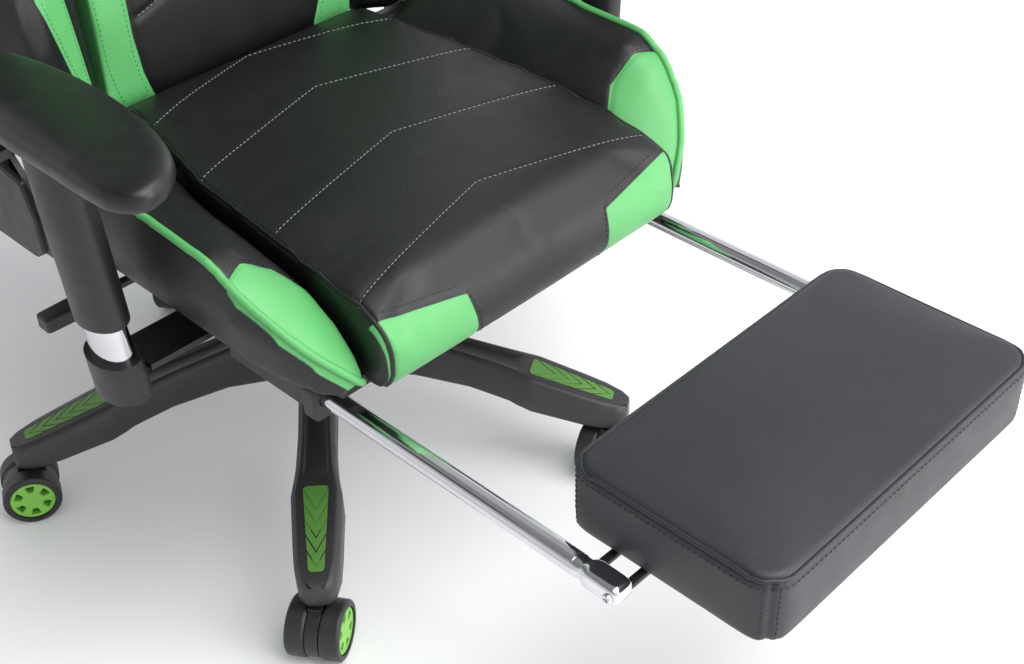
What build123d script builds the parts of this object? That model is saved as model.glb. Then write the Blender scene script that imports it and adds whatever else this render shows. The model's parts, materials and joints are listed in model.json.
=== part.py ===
from build123d import *

import os
from math import cos, radians, sin

# Gaming chair with a pull-out footrest, in millimetres.
# The origin is on the floor, on the swivel axis. The sitter faces -Y and +X is the sitter's left.

# ---- Driving dimensions -------------------------------------------------------------------------

# Five-star base and castors
LEG_COUNT = 5
LEG_PITCH = 360 / LEG_COUNT
FIRST_LEG_AZIMUTH = -131.4
CASTOR_CIRCLE_R = 320
WHEEL_R = 30
WHEEL_WIDTH = 20
TYRE_INNER_R = 23.5
HOOD_HALF = 6.5
WHEEL_GAP = 0.5
CASTOR_TRAIL = 10
STEM_R = 5.5
AXLE_R = 3
RUNNING_GAP = 0.05
SOCKET_FLOOR_Z = 66
CASTOR_AXLE_AZIMUTHS = (-58, -70, 20, -55, -117)

# Gas lift
COLUMN_R = 25
COLUMN_BORE_R = 22
LIFT_TUBE_R = 14
LIFT_ROD_R = 5
COLUMN_BOTTOM_Z = 70
COLUMN_TOP_Z = 232
HUB_TOP_Z = 170

# Mechanism
TILT_PIVOT = (-38, 276)
TILT_BOLT_Y = -100
HOUSING_HALF_WIDTH = 42
PLATE_Z = 326
LEVER_Y = 18
LEVER_Z = 298
LEVER_PIN_X = -40

# Seat
PAN_Z = 330
PAN_THICKNESS = 12
SEAT_FRONT_Y = -342
SEAT_REAR_Y = 74
SOFT_GAP = 2

# Footrest
RAIL_X = 195
RAIL_Z = 315
RAIL_WIDTH = 20
RAIL_HEIGHT = 16
RAIL_FRONT_Y = -551
RAIL_REAR_Y = -150
ROD_R = 4
ROD_Z = 311
FLIP_ROD_Y = -562
STOP_ROD_Y = -590
PAD_HALF_WIDTH = 175
PAD_REAR_Y = -513
PAD_FRONT_Y = -708
PAD_BOTTOM_Z = 316
PAD_TOP_Z = 382

# Armrests
ARM_FOOT = (300, -120, 340)
ARM_LEAN = 3.5
ARM_TUBE_RADII = (15.5, 25)
ARM_SLEEVE_RADII = (20, 30)
ARM_PLATE_Z = 594
ARM_PAD_MIDDLE = (336, -179)
ARM_PAD_THICKNESS = 24

# Backrest
BACK_PIVOT = (118, 402)
BACK_LEAN = 9
BRACKET_X = 240
BRACKET_THICKNESS = 6
PIVOT_PIN_R = 10
COVER_X = 274
COVER_THICKNESS = 6


# ---- Shape helpers ------------------------------------------------------------------------------

def block(x_range, y_range, z_range):
    """A box between the given limits."""
    sizes = [high - low for low, high in (x_range, y_range, z_range)]
    middle = [(high + low) / 2 for low, high in (x_range, y_range, z_range)]
    return Pos(*middle) * Box(*sizes)


def upright(radius, bottom, top, x=0, y=0):
    """A cylinder along Z."""
    return Pos(x, y, (bottom + top) / 2) * Cylinder(radius, top - bottom)


def crossways(radius, left, right, y, z):
    """A cylinder along X."""
    return Pos((left + right) / 2, y, z) * Rot(0, 90, 0) * Cylinder(radius, right - left)


def plan_prism(points, bottom, top):
    """A polygon in plan, given as (x, y), raised from bottom to top."""
    return Pos(0, 0, bottom) * extrude(make_face(Polyline(*points, close=True)), top - bottom)


def side_prism(points, left, right):
    """A polygon seen from the side, given as (y, z), carried along X."""
    face = Plane.YZ * make_face(Polyline(*points, close=True))
    return Pos(left, 0, 0) * extrude(face, right - left)


def both_sides(shape):
    """The shape and its mirror image across the chair's middle plane."""
    return [shape, mirror(shape, Plane.YZ)]


def tapered(sections, outline, plane_at):
    """A ruled loft through outline(section) drawn on plane_at(section)."""
    faces = [plane_at(one) * make_face(Polyline(*outline(one), close=True)) for one in sections]
    return loft(faces, ruled=True)


def top_edges(shape, height):
    """The edges that lie wholly above a height."""
    return [edge for edge in shape.edges() if edge.bounding_box().min.Z > height]


# ---- Five-star base -----------------------------------------------------------------------------

# Leg sections from the hub outwards: radius, half width, top and bottom height
LEG_SECTIONS = (
    (22, 19, 168, 85),
    (60, 18.5, 159.5, 96),
    (110, 18.5, 149.5, 102),
    (170, 18.5, 138, 96),
    (214, 21, 128.5, 86),
    (238, 25, 121.5, 79),
    (290, 23, 106.5, 69),
    (312, 21.5, 100, SOCKET_FLOOR_Z),
    (330, 17.5, 94.6, SOCKET_FLOOR_Z),
    (338, 11, 92, SOCKET_FLOOR_Z + 1),
)
INSERT_START_R = 234
INSERT_END_R = 322
INSERT_HALF_WIDTHS = (12.5, 7.5)
INSERT_DEPTH = 2.5
INSERT_PROUD = 0.8
INSERT_GROOVES = 5


def insert_top(radius):
    """Height of the leg's upper face along the stretch that holds the insert."""
    return 121.5 - (radius - 238) * 25.5 / 87


def star_leg():
    def outline(section):
        _, half, top, bottom = section
        shoulder = half - 6
        return (
            (-half + 3, bottom), (half - 3, bottom), (half, bottom + 4), (half, top - 7),
            (shoulder, top), (-shoulder, top), (-half, top - 7), (-half, bottom + 4),
        )

    def section_plane(section):
        return Plane(origin=(section[0], 0, 0), x_dir=(0, 1, 0), z_dir=(1, 0, 0))

    return tapered(LEG_SECTIONS, outline, section_plane)


def insert_blank(low, high):
    """The insert's outline in plan, between two heights measured from the leg's upper face."""
    inner, outer = INSERT_HALF_WIDTHS
    plan = make_face(Polyline(
        (INSERT_START_R, -inner), (INSERT_END_R, -outer),
        (INSERT_END_R, outer), (INSERT_START_R, inner), close=True,
    ))
    column = Pos(0, 0, 60) * extrude(fillet(plan.vertices(), 4), 120)
    start, end = INSERT_START_R - 8, INSERT_END_R + 8
    slab = Plane.XZ * make_face(Polyline(
        (start, insert_top(start) + low), (end, insert_top(end) + low),
        (end, insert_top(end) + high), (start, insert_top(start) + high), close=True,
    ))
    return column & extrude(slab, 30, both=True)


def leg_insert():
    insert = insert_blank(-INSERT_DEPTH, INSERT_PROUD)
    for index in range(INSERT_GROOVES):
        tip = INSERT_START_R + 25 + index * 14.5
        floor = insert_top(tip) + INSERT_PROUD - 0.6
        for side in (-1, 1):
            groove = Rot(0, 16.3, 0) * Rot(0, 0, side * 28) * Pos(-12, 0, 1.5) * Box(26, 1.3, 3)
            half = block((tip - 30, tip + 2), (min(0, -side * 40), max(0, -side * 40)), (60, 160))
            insert -= Pos(tip, 0, floor) * groove & half
    return insert


def build_base():
    leg = star_leg() - insert_blank(-INSERT_DEPTH, 30)
    leg -= upright(STEM_R + RUNNING_GAP, SOCKET_FLOOR_Z - 1, 88.5, CASTOR_CIRCLE_R)
    boss = upright(14, SOCKET_FLOOR_Z, 84, CASTOR_CIRCLE_R)
    leg += boss - upright(STEM_R + RUNNING_GAP, SOCKET_FLOOR_Z - 1, 88.5, CASTOR_CIRCLE_R)
    hub = upright(37, 84, HUB_TOP_Z)
    hub = chamfer(hub.edges().filter_by(GeomType.CIRCLE), 3)
    insert = leg_insert()
    base, inserts = hub, []
    for index in range(LEG_COUNT):
        turn = Rot(0, 0, FIRST_LEG_AZIMUTH + index * LEG_PITCH)
        base += turn * leg
        inserts.append(turn * insert)
    base -= upright(COLUMN_R, 60, HUB_TOP_Z + 5)
    return {"star_base": base, "leg_inserts": Compound(children=inserts)}


# ---- Castors ------------------------------------------------------------------------------------

def castor_pieces():
    """One castor with its swivel axis on Z and its axle along Y."""
    def along_axle(radius, start, end):
        middle = Pos(CASTOR_TRAIL, (start + end) / 2, WHEEL_R)
        return middle * Rot(90, 0, 0) * Cylinder(radius, end - start)

    inner, outer = HOOD_HALF + WHEEL_GAP, HOOD_HALF + WHEEL_GAP + WHEEL_WIDTH
    web = along_axle(WHEEL_R - 2, -HOOD_HALF, HOOD_HALF) & block((-40, 60), (-20, 20), (12, 70))
    web += block((-10, CASTOR_TRAIL + 8), (-HOOD_HALF, HOOD_HALF), (40, 62))
    hood = web + upright(13, 61.5, 65.5)
    stem = upright(STEM_R, 46, 87.5)
    axle = along_axle(AXLE_R, -(outer - 2), outer - 2)
    hood = hood - stem - axle

    tyre = along_axle(WHEEL_R, inner, outer)
    tyre = fillet(tyre.edges().filter_by(GeomType.CIRCLE), 3.5)
    tyre -= along_axle(TYRE_INNER_R, inner - 1, outer + 1)
    hub = along_axle(TYRE_INNER_R, inner, outer - 1.5)
    hub = chamfer(hub.faces().sort_by(Axis.Y)[-1].edges(), 1.2)
    for index in range(6):
        window = make_face(Polyline((11, -2.6), (19, -5.4), (19, 5.4), (11, 2.6), close=True))
        window = extrude(fillet(window.vertices(), 1.4), 40, both=True)
        hub -= Pos(CASTOR_TRAIL, 0, WHEEL_R) * Rot(90, 0, 0) * Rot(0, 0, 30 + 60 * index) * window
    hub -= along_axle(AXLE_R + RUNNING_GAP, inner - 1, outer - 2 + 0.3)
    return {
        "castor_fork": [hood, stem, axle],
        "castor_tyres": [tyre, mirror(tyre, Plane.XZ)],
        "castor_hubs": [hub, mirror(hub, Plane.XZ)],
    }


def build_castors():
    nodes = {}
    pieces = castor_pieces()
    for index, axle_azimuth in enumerate(CASTOR_AXLE_AZIMUTHS):
        azimuth = radians(FIRST_LEG_AZIMUTH + index * LEG_PITCH)
        place = Pos(CASTOR_CIRCLE_R * cos(azimuth), CASTOR_CIRCLE_R * sin(azimuth), 0)
        place *= Rot(0, 0, axle_azimuth - 90)
        for name, solids in pieces.items():
            nodes[f"{name}_{index + 1}"] = Compound(children=[place * solid for solid in solids])
    return nodes


# ---- Gas lift -----------------------------------------------------------------------------------

def build_gas_lift():
    column = upright(COLUMN_R, COLUMN_BOTTOM_Z, COLUMN_TOP_Z)
    column -= upright(COLUMN_BORE_R, COLUMN_BOTTOM_Z + 4, 300)
    column -= upright(LIFT_ROD_R + 0.5, 60, 80)
    bushing = upright(COLUMN_BORE_R, COLUMN_TOP_Z - 40, COLUMN_TOP_Z)
    bushing -= upright(LIFT_TUBE_R + RUNNING_GAP, 150, 300)
    rod = upright(LIFT_ROD_R, 65, 240) + upright(9, 64, COLUMN_BOTTOM_Z - 0.5) + upright(11.6, 240, 248)
    bearing = upright(15, COLUMN_BOTTOM_Z + 4.3, 80) - upright(LIFT_ROD_R, 60, 90)
    tube = upright(LIFT_TUBE_R, 83, 288) - upright(LIFT_TUBE_R - 2, 91, 280)
    tube -= upright(LIFT_ROD_R + RUNNING_GAP, 80, 100)
    outer = upright(30, HUB_TOP_Z, 230) - upright(28.6, 160, 240)
    middle = upright(28.2, HUB_TOP_Z + 1, 237) - upright(27, 160, 240)
    inner = upright(26.6, HUB_TOP_Z + 2, 250) - upright(25.4, 160, 260)
    return {
        "lift_column": column,
        "lift_bushing": bushing,
        "lift_piston_rod": rod,
        "lift_thrust_bearing": bearing,
        "lift_pressure_tube": tube,
        "dust_cover_outer": outer,
        "dust_cover_middle": middle,
        "dust_cover_inner": inner,
    }


# ---- Tilt mechanism -----------------------------------------------------------------------------

def helical_spring(radius, wire_r, pitch, height):
    """A spring standing on Z = 0, made of a wire swept round a helix."""
    path = Helix(pitch=pitch, height=height, radius=radius)
    section = Plane(origin=path @ 0, z_dir=path % 0) * Circle(wire_r)
    return sweep(section, path)


def build_mechanism():
    pivot_y, pivot_z = TILT_PIVOT
    half = HOUSING_HALF_WIDTH
    housing_profile = (
        (-126, 262), (-126, 276), (-112, 286), (-58, 290), (30, 290),
        (72, 280), (72, 266), (40, 256), (-60, 256),
    )
    housing = side_prism(housing_profile, -half, half)
    housing += upright(26, 250, 290)
    housing += block((-half - 6, -half + 12), (LEVER_Y - 12, LEVER_Y + 12), (276, LEVER_Z + 9))
    housing -= crossways(6.5, -half - 10, -half + 12, LEVER_Y, LEVER_Z)
    housing += Pos(LEVER_PIN_X, LEVER_Y, LEVER_Z) * Rot(90, 0, 0) * Cylinder(2, 18)
    housing -= upright(LIFT_TUBE_R, 240, 288)
    housing -= upright(10, 200, 300, 0, TILT_BOLT_Y)
    housing -= crossways(6, -60, 60, pivot_y, pivot_z)
    pin = crossways(6, -half - 8, half + 8, pivot_y, pivot_z)
    spring = Pos(0, TILT_BOLT_Y, 217.5) * helical_spring(15, 2.6, 8.8, 35.2)

    ear = side_prism(
        ((pivot_y - 14, PLATE_Z), (pivot_y - 12, pivot_z - 8), (pivot_y, pivot_z - 13),
         (pivot_y + 12, pivot_z - 8), (pivot_y + 14, PLATE_Z)),
        half + 2, half + 6,
    )
    ear -= crossways(6 + RUNNING_GAP, 0, 80, pivot_y, pivot_z)
    plate = block((-100, 100), (-125, 110), (PLATE_Z, PAN_Z))
    plate = plate + ear + mirror(ear, Plane.YZ)
    bolt = upright(5, 190, PLATE_Z - 7, 0, TILT_BOLT_Y) + upright(9, PLATE_Z - 7, PLATE_Z, 0, TILT_BOLT_Y)

    knob = upright(27, 182, 211, 0, TILT_BOLT_Y)
    for index in range(12):
        knob -= Pos(0, TILT_BOLT_Y, 0) * Rot(0, 0, 30 * index) * upright(3, 180, 206, 28, 0)
    knob -= upright(5 + RUNNING_GAP, 189.9, 230, 0, TILT_BOLT_Y)

    rod = crossways(5, -246, -half + 8, LEVER_Y, LEVER_Z)
    rod -= Pos(LEVER_PIN_X, LEVER_Y, LEVER_Z) * Rot(90, 0, 0) * Cylinder(2 + RUNNING_GAP, 30)
    paddle_plan = make_face(Polyline(
        (-238, LEVER_Y - 7), (-256, LEVER_Y - 11), (-294, LEVER_Y - 10),
        (-294, LEVER_Y + 10), (-256, LEVER_Y + 11), (-238, LEVER_Y + 7), close=True,
    ))
    paddle = Pos(0, 0, LEVER_Z - 7) * extrude(fillet(paddle_plan.vertices(), 4), 14)
    paddle = fillet(top_edges(paddle, LEVER_Z + 6), 3)
    paddle -= rod
    return {
        "mechanism_housing": housing,
        "tilt_pin": pin,
        "tilt_spring": spring,
        "seat_plate": Compound(children=[plate, bolt]),
        "tension_knob": knob,
        "height_lever_rod": rod,
        "height_lever_paddle": paddle,
    }


# ---- Seat ---------------------------------------------------------------------------------------

# Half width of the centre cushion along its side seams
SEAM_POINTS = ((-342, 178), (-323, 184), (-301, 182), (-193, 179), (-84, 171), (11, 152), (74, 142))

# Bolster sections from the front backwards: y, ridge (x, z), side bulge (x, z), foot (x, z), inner height
BOLSTER_SECTIONS = (
    (-317, (204, 366), (205, 360), (196, 348), 352),
    (-305, (226, 391), (231, 378), (203, 346), 372),
    (-285, (246, 421), (251, 401), (208, 346), 392),
    (-255, (259, 449), (265, 415), (213, 346), 408),
    (-222, (261, 467), (270, 425), (215, 346), 416),
    (-96, (261, 472), (272, 430), (216, 346), 424),
    (36, (262, 480), (272, 434), (218, 346), 432),
)


def seam_half_width(y):
    """Half width of the centre cushion at y, between the seam points."""
    for (y0, w0), (y1, w1) in zip(SEAM_POINTS, SEAM_POINTS[1:]):
        if y <= y1:
            return w0 + (w1 - w0) * (y - y0) / (y1 - y0)
    return SEAM_POINTS[-1][1]


def build_seat():
    pan_front, pan_top = SEAT_FRONT_Y + 44, PAN_Z + PAN_THICKNESS
    pan_plan = (
        (-200, pan_front), (200, pan_front), (200, -60), (150, 70), (-150, 70), (-200, -60),
    )
    pan = plan_prism(pan_plan, PAN_Z, pan_top)
    pan += block((-BRACKET_X, BRACKET_X), (46, 70), (PAN_Z, pan_top))

    plan = [(width, y) for y, width in SEAM_POINTS]
    plan += [(-width, y) for y, width in reversed(SEAM_POINTS)]
    cushion = plan_prism(plan, 300, 500)
    cushion &= side_prism(
        ((SEAT_FRONT_Y + 42, 334), (SEAT_FRONT_Y + 42, pan_top), (SEAT_REAR_Y, pan_top), (SEAT_REAR_Y, 440),
         (50, 447), (11, 446), (-84, 438), (-193, 433), (-301, 420), (-326, 411), (-338, 398),
         (SEAT_FRONT_Y, 380), (SEAT_FRONT_Y + 2, 352), (SEAT_FRONT_Y + 16, 336)),
        -200, 200,
    )

    def outline(section):
        y, (ridge_x, ridge_z), bulge, foot, inner_z = section
        inner = seam_half_width(y) + SOFT_GAP
        base_z = foot[1]
        shoulder = (inner * 0.35 + ridge_x * 0.65, ridge_z * 0.92 + inner_z * 0.08)
        flank = ((bulge[0] + foot[0]) / 2 + 14, (bulge[1] + foot[1]) / 2 - 12)
        return (
            (inner, base_z), (inner, inner_z), shoulder, (ridge_x, ridge_z), bulge, flank, foot,
        )

    def section_plane(section):
        return Plane(origin=(0, section[0], 0), x_dir=(1, 0, 0), z_dir=(0, -1, 0))

    bolster = tapered(BOLSTER_SECTIONS, outline, section_plane)
    return {
        "seat_pan": pan,
        "seat_cushion": cushion,
        "seat_bolsters": Compound(children=both_sides(bolster)),
    }


# ---- Footrest -----------------------------------------------------------------------------------

def stadium_bar(width, height, start, end, x=RAIL_X, z=RAIL_Z):
    """A bar along Y with half-round sides."""
    face = Plane(origin=(x, start, z), x_dir=(1, 0, 0), z_dir=(0, 1, 0)) * SlotOverall(width, height)
    return extrude(face, end - start)


def build_footrest():
    wall = 1.5
    rail = stadium_bar(RAIL_WIDTH, RAIL_HEIGHT, RAIL_FRONT_Y, RAIL_REAR_Y)
    bore_width, bore_height = RAIL_WIDTH - 2 * wall, RAIL_HEIGHT - 2 * wall
    rail -= stadium_bar(bore_width, bore_height, RAIL_FRONT_Y - 1, RAIL_REAR_Y + 1)

    end = block((RAIL_X - 10.5, RAIL_X + 10.5), (-597, -555), (RAIL_Z - 8, RAIL_Z + 8))
    end = fillet(end.edges().filter_by(Axis.Y) + end.edges().filter_by(Axis.Z), 4)
    end += stadium_bar(bore_width, bore_height, -556, RAIL_FRONT_Y + 14)
    rods = [crossways(ROD_R, -RAIL_X, RAIL_X, y, ROD_Z) for y in (FLIP_ROD_Y, STOP_ROD_Y)]
    for rod in rods:
        end -= rod
    screw = crossways(4, RAIL_X + 10.5, RAIL_X + 13, STOP_ROD_Y, RAIL_Z)
    screw -= extrude(Pos(RAIL_X + 11.5, STOP_ROD_Y, RAIL_Z) * Rot(0, 90, 0) * RegularPolygon(2.2, 6), 5)

    funnel = block((RAIL_X - 17, RAIL_X + 17), (-272, -258), (296, PAN_Z))
    funnel = fillet(funnel.edges().filter_by(Axis.Y), 5)
    guide = block((RAIL_X - 14, RAIL_X + 14), (-259, -154), (300, PAN_Z))
    guide = chamfer(guide.faces().sort_by(Axis.Z)[0].edges().filter_by(Axis.Y), 3) + funnel
    hole = stadium_bar(RAIL_WIDTH + 0.8, RAIL_HEIGHT + 0.8, -300, 0)

    board = block((-152, 152), (PAD_FRONT_Y + 14, PAD_REAR_Y - 14), (PAD_BOTTOM_Z, PAD_BOTTOM_Z + 8))
    pad = block((-PAD_HALF_WIDTH, PAD_HALF_WIDTH), (PAD_FRONT_Y, PAD_REAR_Y), (PAD_BOTTOM_Z, PAD_TOP_Z))
    pad = fillet(pad.edges().filter_by(Axis.Z), 26)
    pad = fillet(top_edges(pad, PAD_TOP_Z - 1), 8) - board
    clips = []
    for x in (-110, 110):
        clip = block((x - 12, x + 12), (FLIP_ROD_Y - 9, FLIP_ROD_Y + 9), (ROD_Z - 8, PAD_BOTTOM_Z))
        clip += block((x - 12, x + 12), (FLIP_ROD_Y - 9, FLIP_ROD_Y + 24), (PAD_BOTTOM_Z - 2, PAD_BOTTOM_Z))
        clips.append(clip - crossways(ROD_R + RUNNING_GAP, x - 20, x + 20, FLIP_ROD_Y, ROD_Z))
    return {
        "footrest_rails": Compound(children=both_sides(rail)),
        "footrest_end_blocks": Compound(children=both_sides(end) + both_sides(screw)),
        "footrest_rods": Compound(children=rods),
        "rail_guides": Compound(children=both_sides(guide - hole)),
        "footrest_board": board,
        "footrest_pad": pad,
        "footrest_clips": Compound(children=clips),
    }


# ---- Armrests -----------------------------------------------------------------------------------

# Plan outline of the left pad about its middle: straight outside, curved inside, round at both ends
TAB_HINGE = (26, 228)
ARM_PAD_OUTLINE = (
    (13, -146), (-13, -132), (-32, -92), (-41, -30), (-41, 30), (-30, 88), (-6, 134), (16, 146),
    (35, 126), (39, 70), (39, 0), (39, -70), (38, -112), (30, -138),
)

def oval_post(radii, bottom, top):
    """An oval column along the armrest's own axis."""
    return Pos(0, 0, bottom) * extrude(Ellipse(*radii), top - bottom)


def build_left_armrest():
    """The pieces of the sitter's left armrest, with the post leaning outwards."""
    lean = Pos(*ARM_FOOT) * Rot(0, ARM_LEAN, 0)
    tube_x, tube_y = ARM_TUBE_RADII
    tube = oval_post(ARM_TUBE_RADII, -30, 165) - oval_post((tube_x - 2, tube_y - 2), -31, 166)
    socket_radii = (ARM_SLEEVE_RADII[0] + 1, ARM_SLEEVE_RADII[1] + 1)
    socket = oval_post(socket_radii, -37, 4) - oval_post(ARM_TUBE_RADII, -30, 10)
    foot_x, foot_y, _ = ARM_FOOT
    bar = block((108, foot_x - 19), (foot_y - 24, foot_y + 24), (PLATE_Z - 2, PAN_Z))
    lip = block((214, foot_x - 19), (foot_y + 21, foot_y + 24), (PLATE_Z - 16, PAN_Z))
    bar = bar + lip - lean * oval_post(socket_radii, -60, 20)

    cavity = oval_post((tube_x + 0.3, tube_y + 0.3), 0, 230)
    sleeve = oval_post(ARM_SLEEVE_RADII, 43, 250)
    plate_outline = Pos(*ARM_PAD_MIDDLE) * RectangleRounded(58, 210, 20)
    plate = Pos(0, 0, ARM_PLATE_Z - 8) * extrude(plate_outline, 8)
    hinge_x, hinge_z = TAB_HINGE
    for side in (-1, 1):
        sleeve += Pos(hinge_x - 2, side * 11.5, hinge_z) * Box(12, 3, 8)
    hinge_pin = Pos(hinge_x, 0, hinge_z) * Rot(90, 0, 0) * Cylinder(1.5, 22)
    sleeve = lean * (sleeve - cavity + hinge_pin) + plate

    pad_outline = Pos(*ARM_PAD_MIDDLE) * make_face(Spline(*ARM_PAD_OUTLINE, periodic=True))
    pad = Pos(0, 0, ARM_PLATE_Z) * extrude(pad_outline, ARM_PAD_THICKNESS)
    pad = fillet(pad.faces().sort_by(Axis.Z)[-1].edges(), 9)

    tab = Pos(hinge_x + 15, 0, hinge_z - 4) * extrude(RectangleRounded(20, 34, 7), 8)
    tab += block((hinge_x, hinge_x + 8), (-9, 9), (hinge_z - 4, hinge_z + 4))
    tab += Pos(hinge_x, 0, hinge_z) * Rot(90, 0, 0) * Cylinder(4, 18)
    tab = lean * (tab - Pos(hinge_x, 0, hinge_z) * Rot(90, 0, 0) * Cylinder(1.5 + RUNNING_GAP, 30))
    return {
        "tube": lean * tube,
        "socket": lean * socket,
        "bar": bar,
        "sleeve": sleeve,
        "pad": pad,
        "tab": tab,
    }


def build_armrests():
    left = build_left_armrest()
    nodes = {}
    for piece in ("bar", "socket", "tube"):
        nodes[f"armrest_{piece}s"] = Compound(children=both_sides(left[piece]))
    for piece in ("sleeve", "pad", "tab"):
        nodes[f"armrest_{piece}_left"] = left[piece]
        nodes[f"armrest_{piece}_right"] = mirror(left[piece], Plane.YZ)
    return nodes


# ---- Recliner and backrest ----------------------------------------------------------------------

# Backrest sections in its own leaning frame: height, outer half width, front depth
BACK_WING_SECTIONS = (
    (12, 238, -62),
    (64, 244, -84),
    (66, 264, -85),
    (145, 268, -97),
    (300, 262, -84),
    (440, 270, -80),
    (540, 276, -72),
    (600, 240, -58),
    (632, 220, -50),
)
BACK_CENTRE_PROFILE = (
    (-4, 6), (-40, 6), (-46, 30), (-62, 110), (-65, 170),
    (-58, 280), (-48, 420), (-46, 560), (-46, 634), (-4, 634),
)
BACK_CENTRE_HALF = 150
HEAD_HALF_WIDTHS = (
    (636, 176), (670, 164), (720, 154), (770, 148), (806, 142), (834, 122), (847, 92), (850, 60),
)
BELT_SLOT = (78, 690, 70, 36)


def build_recliner():
    pivot_y, pivot_z = BACK_PIVOT
    inner, outer = BRACKET_X, BRACKET_X + BRACKET_THICKNESS
    bracket_profile = (
        (42, 324), (100, 324), (134, 370), (140, 402), (128, 424), (108, 424), (60, 372), (42, 350),
    )
    bracket = side_prism(bracket_profile, inner, outer)
    bracket += block((120, outer), (46, 96), (PLATE_Z - 2, PAN_Z))
    bracket -= crossways(PIVOT_PIN_R, 0, 300, pivot_y, pivot_z)
    pin = crossways(PIVOT_PIN_R, inner, COVER_X - 0.5, pivot_y, pivot_z)

    cover_outline = (
        (8, 372), (24, 361), (136, 361), (158, 378), (162, 404),
        (150, 432), (128, 446), (60, 446), (21, 440), (10, 408),
    )
    cover = side_prism(cover_outline, COVER_X, COVER_X + COVER_THICKNESS)
    cover = fillet(cover.edges().filter_by(Axis.X), 5)
    cover = chamfer(cover.faces().sort_by(Axis.X)[-1].edges(), 2)
    cover += block((outer + 14, COVER_X + 1), (46, 132), (362, 365))
    cover -= Pos(COVER_X, 87, 399) * Rot(0, 90, 0) * extrude(SlotOverall(17, 9), 20, both=True)
    shaft_hole = crossways(6.4, COVER_X - 2, COVER_X + 10, pivot_y, pivot_z)

    shaft = crossways(6, COVER_X, COVER_X + COVER_THICKNESS + 4, pivot_y, pivot_z)
    handle_start = COVER_X + COVER_THICKNESS + 1.5
    hub = crossways(15, handle_start, handle_start + 7.5, pivot_y, pivot_z)
    handle_profile = (
        (pivot_y - 9, pivot_z), (pivot_y + 10, pivot_z - 6),
        (pivot_y + 66, pivot_z + 96), (pivot_y + 50, pivot_z + 104),
    )
    handle = side_prism(handle_profile, handle_start, handle_start + 8)
    handle = fillet(handle.edges().filter_by(Axis.X), 4)
    lever = mirror(shaft + hub + handle, Plane.YZ)
    return {
        "recliner_brackets": Compound(children=both_sides(bracket)),
        "recliner_pins": Compound(children=both_sides(pin)),
        "recliner_covers": Compound(children=[cover, mirror(cover - shaft_hole, Plane.YZ)]),
        "recline_lever": lever,
    }


def belt_slots():
    """The two slanted slots through the head of the backrest."""
    slot_x, slot_z, slot_width, slot_height = BELT_SLOT
    outline = Pos(slot_x, slot_z) * Rot(0, 0, 18) * SlotOverall(slot_width, slot_height)
    slot = extrude(Plane.XZ * outline, 200, both=True)
    return slot + mirror(slot, Plane.YZ)


def build_backrest():
    place = Pos(0, *BACK_PIVOT) * Rot(-BACK_LEAN, 0, 0)

    def level_plane(section):
        return Plane(origin=(0, 0, section[0]), x_dir=(1, 0, 0), z_dir=(0, 0, 1))

    def wing_outline(section):
        _, half, front = section
        inner = BACK_CENTRE_HALF + SOFT_GAP
        return (
            (inner, -4), (inner, front * 0.55), (half - 62, front),
            (half - 34, front - 2), (half - 8, front * 0.6), (half, -4),
        )

    wing = tapered(BACK_WING_SECTIONS, wing_outline, level_plane)
    wrap_points = [(half, height) for height, half, _ in BACK_WING_SECTIONS[2:]]
    wrap = make_face(Polyline((216, 66), *wrap_points[:-1], (216, 612), close=True))
    wing += Pos(0, -5, 0) * extrude(Plane.XZ * wrap, -26)

    centre = side_prism(BACK_CENTRE_PROFILE, -BACK_CENTRE_HALF, BACK_CENTRE_HALF)
    head_points = [(half, height) for height, half in HEAD_HALF_WIDTHS]
    head_points += [(-half, height) for height, half in reversed(HEAD_HALF_WIDTHS)]
    head = extrude(Plane.XZ * make_face(Polyline(*head_points, close=True)), 50)
    head = Pos(0, -4, 0) * head
    head -= belt_slots()

    cover_points = [(236, 20), (236, 66)] + wrap_points[:-1] + head_points[:len(HEAD_HALF_WIDTHS)]
    full = cover_points + [(-x, z) for x, z in reversed(cover_points)]
    rear = extrude(Plane.XZ * make_face(Polyline(*full, close=True)), -26)
    rear = Pos(0, 22, 0) * rear
    rear -= belt_slots()

    tube_r, tube_x, tube_y = 10, 203, 10
    frame = crossways(tube_r, -BRACKET_X - 9, BRACKET_X + 9, tube_y, 44)
    for height, reach in ((400, tube_x), (620, tube_x)):
        frame += crossways(tube_r - 2, -reach, reach, tube_y, height)
    for side in (-1, 1):
        frame += Pos(side * tube_x, tube_y, 0) * upright(tube_r, 44, 620)
        frame += Pos(side * 135, tube_y, 0) * upright(tube_r - 2, 620, 800)
        frame += Pos(side * tube_x, tube_y, 620) * Sphere(tube_r)
    frame += crossways(tube_r - 2, -135, 135, tube_y, 800)
    for side in (-1, 1):
        frame += Pos(side * 135, tube_y, 800) * Sphere(tube_r - 2)
    arm_profile = ((-16, -12), (-8, -18), (8, -18), (18, -8), (22, 50), (0, 58), (-14, 30))
    arm = side_prism(arm_profile, BRACKET_X + 7, BRACKET_X + 13)
    frame = frame + arm + mirror(arm, Plane.YZ)
    frame -= crossways(PIVOT_PIN_R + RUNNING_GAP, -300, 300, 0, 0)

    return {
        "back_frame": place * frame,
        "back_cushion": place * centre,
        "back_bolsters": Compound(children=both_sides(place * wing)),
        "back_head_cushion": place * head,
        "back_rear_cover": place * rear,
    }


# ---- Write every piece --------------------------------------------------------------------------

def main():
    os.makedirs("parts", exist_ok=True)
    builders = (
        build_base, build_castors, build_gas_lift, build_mechanism, build_seat,
        build_footrest, build_armrests, build_recliner, build_backrest,
    )
    nodes = {}
    for build in builders:
        nodes.update(build())
    for name, shape in nodes.items():
        export_step(shape, f"parts/{name}.step")
    print(len(nodes), "nodes")


main()
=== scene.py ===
import json
import math

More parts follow.
